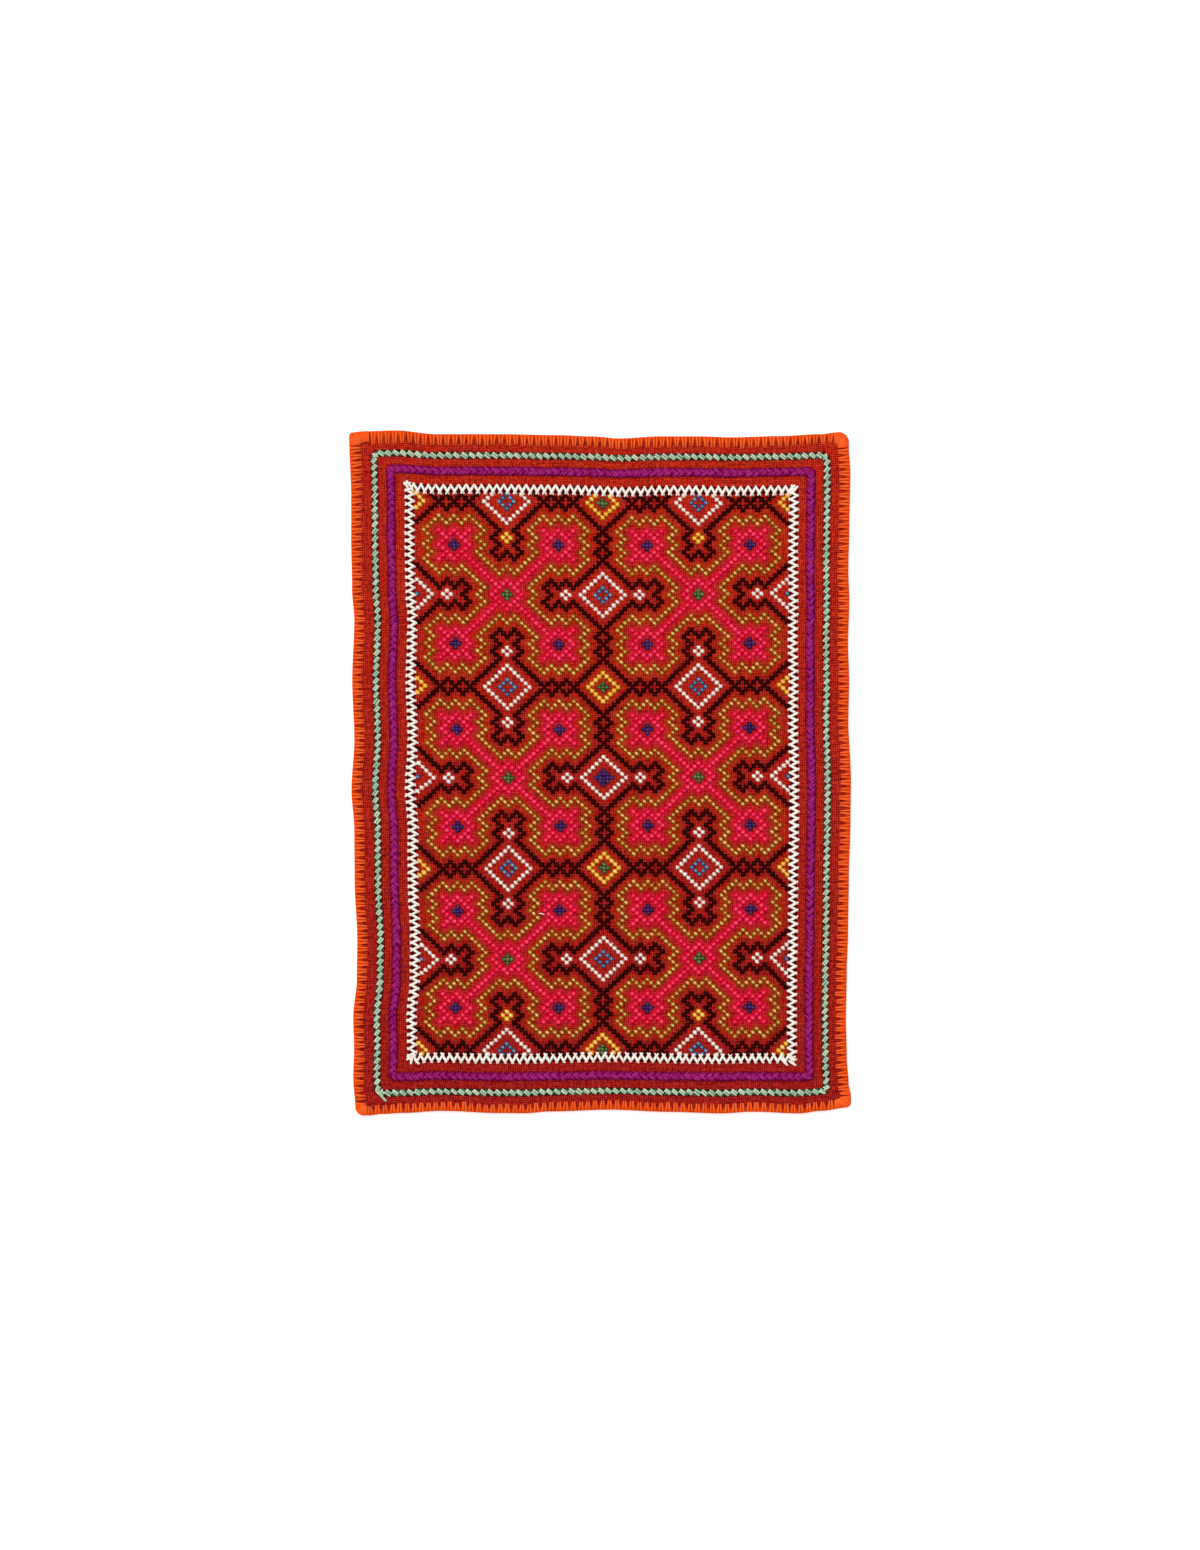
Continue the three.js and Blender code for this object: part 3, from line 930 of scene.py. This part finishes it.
def green_row():
    """A chain of slanting lozenges, each of two plies side by side, over dark strands of painted shade that
    slant back.
    """
    path = RowPath(ROWS["green_row"])
    rng = np.random.default_rng(101)
    strands = Strands()
    starts = np.arange(path.stitches, dtype=float)
    for way in (-1, 1):
        out = way * GREEN_PLY["outwards"]
        lay_row(strands, path, rng, starts, GREEN_ADVANCE, (out + GREEN_HALF, out - GREEN_HALF), GREEN_STRAND,
                offset=way * GREEN_PLY["along"])
    # Low dark strands that stand for the painted shade in the notches between lozenges
    under = GREEN_STRAND._replace(heights=GREEN_SHADE_UNDER["height"] * GREEN_STRAND.heights,
                                  half_height=GREEN_SHADE_UNDER["thickness"], lift=GREEN_SHADE_UNDER["lift"])
    for way in (-1, 1):
        lay_row(strands, path, rng, starts, GREEN_ADVANCE, (-GREEN_SHADE_UNDER["half"], GREEN_SHADE_UNDER["half"]), under,
                offset=way * GREEN_SHADE_UNDER["along"])
    tail = worked(on_line(GREEN_TAIL["from"], GREEN_TAIL["to"], GREEN_STRAND.shares))
    strands.lay_over(tail, GREEN_STRAND._replace(widths=GREEN_TAIL["width"] * (GREEN_STRAND.widths > 0)))
    row_back(strands, path, GREEN_HALF)
    piece = strands.make("green_stitches", "green")
    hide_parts("green_row")


# How the strands of a row cross on each side, in stitches: their overlap at the row's outer and inner edge,
# and how far they are shifted on
PURPLE_CROSSING = {side: {"outer": 0.55, "inner": 1.05, "shift": 0} for side in SIDES_CLOCKWISE}
WHITE_CROSSING = {
    "left": {"outer": 0.44, "inner": 0.26, "shift": 0},
    "top": {"outer": 0.2, "inner": 0.5, "shift": -0.2},
    "right": {"outer": 0.34, "inner": 0.32, "shift": -0.2},
    "bottom": {"outer": 0.34, "inner": 0.48, "shift": -0.2},
}


# The cords under a row, dark with painted shade from their low painted light
CORD = Profile(None, 0.05, 1, 0.3, 0.32)
CORD_STEPS = 4


def base_cords(strands, path, places):
    """Low cords along the row, under its slanting strands, dark with painted shade."""
    marks = np.linspace(0, path.stitches, path.stitches * CORD_STEPS + 1)
    for outwards in places:
        strands.lay_over(worked(path.at(marks, outwards)), CORD)


# The strands that fill each corner of the white row, by the signs of x and y: their two ends, outwards from
# the crossing of the row's middle lines
WHITE_CORNER_STRANDS = {
    (-1, 1): (((4.4, 1.8), (-1.5, 3.2)), ((3.8, 3.6), (0.2, -1.8)), ((2.4, 4.6), (-2.6, -1.6))),
    (1, 1): (((-1.6, 3.9), (-0.8, -0.8)), ((1.2, 3.7), (-3.9, -2.6)), ((3, 2.8), (-2.2, -2.9))),
    (1, -1): (((-0.8, 1.1), (2.4, -2)), ((2.8, 4.7), (-2.9, 1)), ((-2.9, 4.8), (-8.4, -0.8))),
    (-1, -1): (((3.9, 1.2), (-0.2, -2.4)), ((3.6, -2), (-0.2, 1.8)), ((0.8, 4.1), (-0.2, -1.3)),
               ((-5.2, 4.1), (-1.6, 0.8))),
}
CORNER_STRAND_RISE = 0.15


def fill_corners(strands, row, by_corner, profile):
    """The few strands in each corner of a row, the later ones over the earlier."""
    for (sign_x, sign_y), ends in by_corner.items():
        crossing = np.array([row["left" if sign_x < 0 else "right"], row["bottom" if sign_y < 0 else "top"]])
        for number, (start, end) in enumerate(ends):
            way = np.array([sign_x, sign_y])
            plan = worked(on_line(crossing + way * start, crossing + way * end, profile.shares))
            strands.lay_over(plan, profile._replace(heights=profile.heights + CORNER_STRAND_RISE * number))


SLANT_SHARES = np.array([0, 0.08, 0.36, 0.64, 0.92, 1])
SLANT_HEIGHTS = np.array([-0.2, 0.85, 0.8, 0.5, 0.2, -0.4])


def herringbone(name, row_name, yarn, seed, crossing, widths, half_height, lift, plies, half, uneven, base,
                corner_strands):
    """Strands that slant across the row and back, each over the one before it at its start."""
    path = RowPath(ROWS[row_name])
    rng = np.random.default_rng(seed)
    strands = Strands()
    profile = Profile(SLANT_SHARES, SLANT_HEIGHTS, np.array(widths), half_height, lift)
    marks = np.arange(path.stitches, dtype=float)
    outer, inner, shift = (path.by_side({side: row[key] for side, row in crossing.items()}, marks)
                           for key in ("outer", "inner", "shift"))
    advance = (1 + outer + inner) / 2
    starts = marks + shift
    for offset in plies:
        for first, edge in ((starts, -half), (starts + advance - outer, half)):
            lay_row(strands, path, rng, first, advance, (edge, -edge), profile, offset, uneven)
    base_cords(strands, path, base)
    row_back(strands, path, half)
    fill_corners(strands, ROWS[row_name], corner_strands, profile)
    piece = strands.make(name, yarn)
    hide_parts(row_name)


# The edging

EDGING_PITCH = 4.93
CLOSE_PITCH = 1.45
EDGING_THICKNESS = 0.34

# A strand's way round the edge: inset as a share of its reach, inset in millimetres, height above the table,
# half-width and painted light, painted shade where it turns down round the edge and a painted highlight on top
EDGING_WAY = (
    (1, 0, 1.65, 0, 0.5),
    (0.94, 0, 2.25, 0.52, 1),
    (0.58, 0, 2.52, 0.68, 1),
    (0.15, 0, 2.45, 0.94, 0.7),
    (0, 0.42, 1.95, 1, 0.5),
    (0, 0.38, 0.95, 1, 0.3),
    (0.15, 0, 0.35, 0.88, 0.6),
    (0.55, 0, 0.36, 0.74, 0.7),
    (0.93, 0, 0.36, 0.48, 0.7),
    (0.98, 0, 0.6, 0, 0.2),
)
TIP_PARTING = 0.66
EDGE_PARTING = 1.3

# The lower strands inside each tooth and between teeth: what share of a tooth's own reach, height over the
# cloth, width and painted light they keep, their lower painted light being painted shade
FILLERS = {
    "inside": {"reach": 0.76, "height": 0.3, "width": 0.62, "lift": 0.3},
    "between": {"reach": 0.58, "height": 0.3, "width": 0.8, "lift": 0.25},
}
FULL = {"reach": 1, "height": 1, "width": 1, "lift": 1}


def along_side(side):
    """Whether a side is upright, which way it faces, and the line and the corner at its low and high ends."""
    upright = side in ("left", "right")
    sign = 1 if side in ("right", "top") else -1
    lines = [SIDES[end]["line"] for end in (("bottom", "top") if upright else ("left", "right"))]
    corners = [CORNERS[(sign, end) if upright else (end, sign)] for end in (-1, 1)]
    return upright, sign, lines, corners


def edge_point(side, along):
    """Where the straight outline runs at places along a side, drawn in by its rounded corners."""
    upright, sign, lines, corners = along_side(side)
    drop = sum(rounding_drop(corner["radius"], np.abs(along - line)) for line, corner in zip(lines, corners))
    across = SIDES[side]["line"] - sign * drop
    return np.stack([across, along] if upright else [along, across], axis=-1)


def wrap_edge(strands, rng, outer, tips, kept=FULL):
    """Strands that run from their tips to the cloth's outer edge, over it and back beneath the cloth."""
    share, fixed, height, width, lift = (np.array(column) for column in zip(*EDGING_WAY))
    height = np.where(height > CLOTH_TOP, CLOTH_TOP + (height - CLOTH_TOP) * kept["height"], height)
    reach = np.linalg.norm(tips - outer, axis=-1)[:, None]
    inset = share + fixed / reach
    plan = worked(outer[:, None] + (tips - outer)[:, None] * inset[..., None])
    centres = np.dstack([plan, np.broadcast_to(height, inset.shape)])
    outward = unit(plan[:, 4] - plan[:, 1])
    lateral = np.stack([-outward[:, 1], outward[:, 0], np.zeros(len(outward))], axis=-1)
    varied = kept["width"] * width * (1 + rng.normal(0, 0.07, (len(outer), 1)))
    strands.lay(centres, varied, EDGING_THICKNESS, rng.uniform(-1, 1, len(outer)), kept["lift"] * lift,
                lateral[:, None])


def edging_teeth(strands, rng, side):
    """The overcast teeth of one side: two strands leave each tip and part as they wrap the edge."""
    upright, sign, lines, corners = along_side(side)
    block = "along_y" if upright else "along_x"
    start, end = lines[0] + corners[0][block], lines[1] - corners[1][block]
    teeth = round((end - start) / EDGING_PITCH)
    pitch = (end - start) / teeth
    middles = start + (np.arange(teeth) + 0.5) * pitch + rng.normal(0, 0.12, teeth)
    at_start, at_end = SIDES[side]["further"]
    further = (at_start * ease(1 - (middles - start) / FURTHER_LENGTH)
               + at_end * ease(1 - (end - middles) / FURTHER_LENGTH))
    reach = SIDES[side]["reach"] + further + rng.normal(0, 0.3, teeth)
    lean_over = rng.normal(0, 0.2, teeth)

    def wrap(at_edge, at_tip, kept):
        inner = SIDES[side]["line"] - sign * reach * kept["reach"]
        tips = np.stack([inner, at_tip] if upright else [at_tip, inner], axis=-1)
        wrap_edge(strands, rng, edge_point(side, at_edge), tips, kept)

    for way in (-1, 1):
        wrap(middles + way * EDGE_PARTING, middles + way * TIP_PARTING + lean_over, FULL)
    wrap(middles, middles + lean_over, FILLERS["inside"])
    wrap(middles + pitch / 2, middles + pitch / 2, FILLERS["between"])


def corner_block(strands, rng, sign_x, sign_y):
    """Close stitches that fan out from a corner of the edging's inner line and fill the corner."""
    corner = CORNERS[(sign_x, sign_y)]
    signs = np.array([sign_x, sign_y])
    sides = SIDES["right" if sign_x > 0 else "left"], SIDES["top" if sign_y > 0 else "bottom"]
    line, reach = (np.array([side[key] for side in sides]) for key in ("line", "reach"))
    block = np.array([corner["along_x"], corner["along_y"]])
    radius = corner["radius"]
    level, upright = block - radius
    arc = radius * math.pi / 2
    length = level + arc + upright
    count = round(length / CLOSE_PITCH)
    travelled = (np.arange(count) + 0.5) * length / count
    turn = np.clip((travelled - level) / arc, 0, 1) * math.pi / 2
    inwards_x = block[0] - np.minimum(travelled, level) - radius * np.sin(turn)
    inwards_y = radius * (1 - np.cos(turn)) + np.maximum(travelled - level - arc, 0)
    outer = line - signs * np.stack([inwards_x, inwards_y], axis=-1)
    spread = travelled / length
    fan = np.stack([(1 - spread) ** 2, spread ** 2], axis=-1)
    tips = line - signs * (reach + (block - reach) * fan) + rng.normal(0, 0.25, (count, 2))
    wrap_edge(strands, rng, outer, tips)


# The cord inside the edge, and how far its ends stop short, by the corner's radius and besides; its low
# painted light paints it in shade
EDGE_CORD = {"inside": 0.75, "height": 1.4, "width": 0.5, "thickness": 0.62, "step": 2.5, "lift": 0.25}
CORD_SHORT = {"by_radius": 0.3, "besides": 0.6}


def edge_cord(strands, side):
    """The yarn that lies along the edge inside the overcast stitches and keeps the outline smooth."""
    upright, sign, lines, corners = along_side(side)
    short = [CORD_SHORT["by_radius"] * corner["radius"] + CORD_SHORT["besides"] for corner in corners]
    start, end = lines[0] + short[0], lines[1] - short[1]
    along = np.linspace(start, end, round((end - start) / EDGE_CORD["step"]))
    inwards = np.array([-sign, 0] if upright else [0, -sign])
    plan = worked(edge_point(side, along) + inwards * EDGE_CORD["inside"])
    centres = np.dstack([plan[None], np.full((1, len(along)), EDGE_CORD["height"])])
    strands.lay(centres, EDGE_CORD["width"], EDGE_CORD["thickness"], 0, EDGE_CORD["lift"])


def edging():
    """The four sides, the upright ones with the close stitches of their corners."""
    for seed, side in enumerate(SIDES):
        strands = Strands()
        rng = np.random.default_rng(200 + seed)
        edging_teeth(strands, rng, side)
        upright, sign, _, _ = along_side(side)
        if upright:
            corner_block(strands, rng, sign, -1)
            corner_block(strands, rng, sign, 1)
        edge_cord(strands, side)
        piece = strands.make(f"{side}_edging_stitches", "orange")
        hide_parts(f"edging_{side}")


# The room: floor, light and camera

CAMERA_HEIGHT = 5
PICTURE_HEIGHT = 1.0501
PICTURE_MIDDLE_Y = -0.00146

# A little light of the floor's own keeps it as pale beside the cloth as elsewhere
FLOOR = {"half": 4, "height": -0.0004, "glow": 0.3}
WHITE = (1, 1, 1, 1)


def plain_floor():
    half, height = FLOOR["half"], FLOOR["height"]
    mesh = bpy.data.meshes.new("floor")
    corners = [(x, y, height) for x, y in ((-half, -half), (half, -half), (half, half), (-half, half))]
    mesh.from_pydata(corners, [], [(0, 1, 2, 3)])
    floor = linked("floor", mesh)
    nodes = Nodes("floor_paint")
    place = nodes.add("ShaderNodeTexCoord")
    grain = nodes.noise(place.outputs["Object"], 60)
    colour = nodes.ramp(grain, (0, 1), ((0.86,) * 3, (0.9,) * 3))
    nodes.give({"Base Color": colour, "Roughness": 0.9, "Emission Color": WHITE,
                "Emission Strength": FLOOR["glow"]})
    mesh.materials.append(nodes.material)


def soft_light():
    world = bpy.data.worlds.new("studio")
    world.use_nodes = True
    background = world.node_tree.nodes["Background"]
    background.inputs["Color"].default_value = WHITE
    background.inputs["Strength"].default_value = 0.85
    bpy.context.scene.world = world
    data = bpy.data.lights.new("window", "SUN")
    data.energy = 1.9
    data.angle = math.radians(50)
    lamp = linked("window", data)
    lamp.rotation_euler = (math.radians(-35), math.radians(-30), 0)


def straight_down_camera():
    data = bpy.data.cameras.new("camera")
    data.lens = data.sensor_width * CAMERA_HEIGHT / PICTURE_HEIGHT
    data.clip_end = 50
    camera = linked("camera", data)
    camera.location = (0, PICTURE_MIDDLE_Y, CAMERA_HEIGHT)
    bpy.context.scene.camera = camera


bpy.context.scene.view_settings.view_transform = "Standard"
straight_down_camera()
soft_light()
plain_floor()

MATERIALS = {yarn: yarn_material(yarn) for yarn in YARNS}
ground = ground_cloth()
embroider_panel()
green_row()
herringbone("purple_stitches", "purple_row", "purple", seed=102, crossing=PURPLE_CROSSING,
            widths=(0, 0.46, 0.88, 0.88, 0.46, 0), half_height=0.38, lift=(0.2, 0.65, 1, 0.65, 0.45, 0.2),
            plies=(-0.16, 0.16), half=3.05, uneven=3, base=(-1.4, 0, 1.4), corner_strands={})
herringbone("white_stitches", "white_row", "white", seed=103, crossing=WHITE_CROSSING,
            widths=(0, 0.7, 0.9, 0.9, 0.7, 0), half_height=0.46, lift=(0.3, 0.95, 0.95, 0.8, 0.7, 0.3),
            plies=(0,), half=3.7, uneven=1.6, base=(), corner_strands=WHITE_CORNER_STRANDS)
edging()
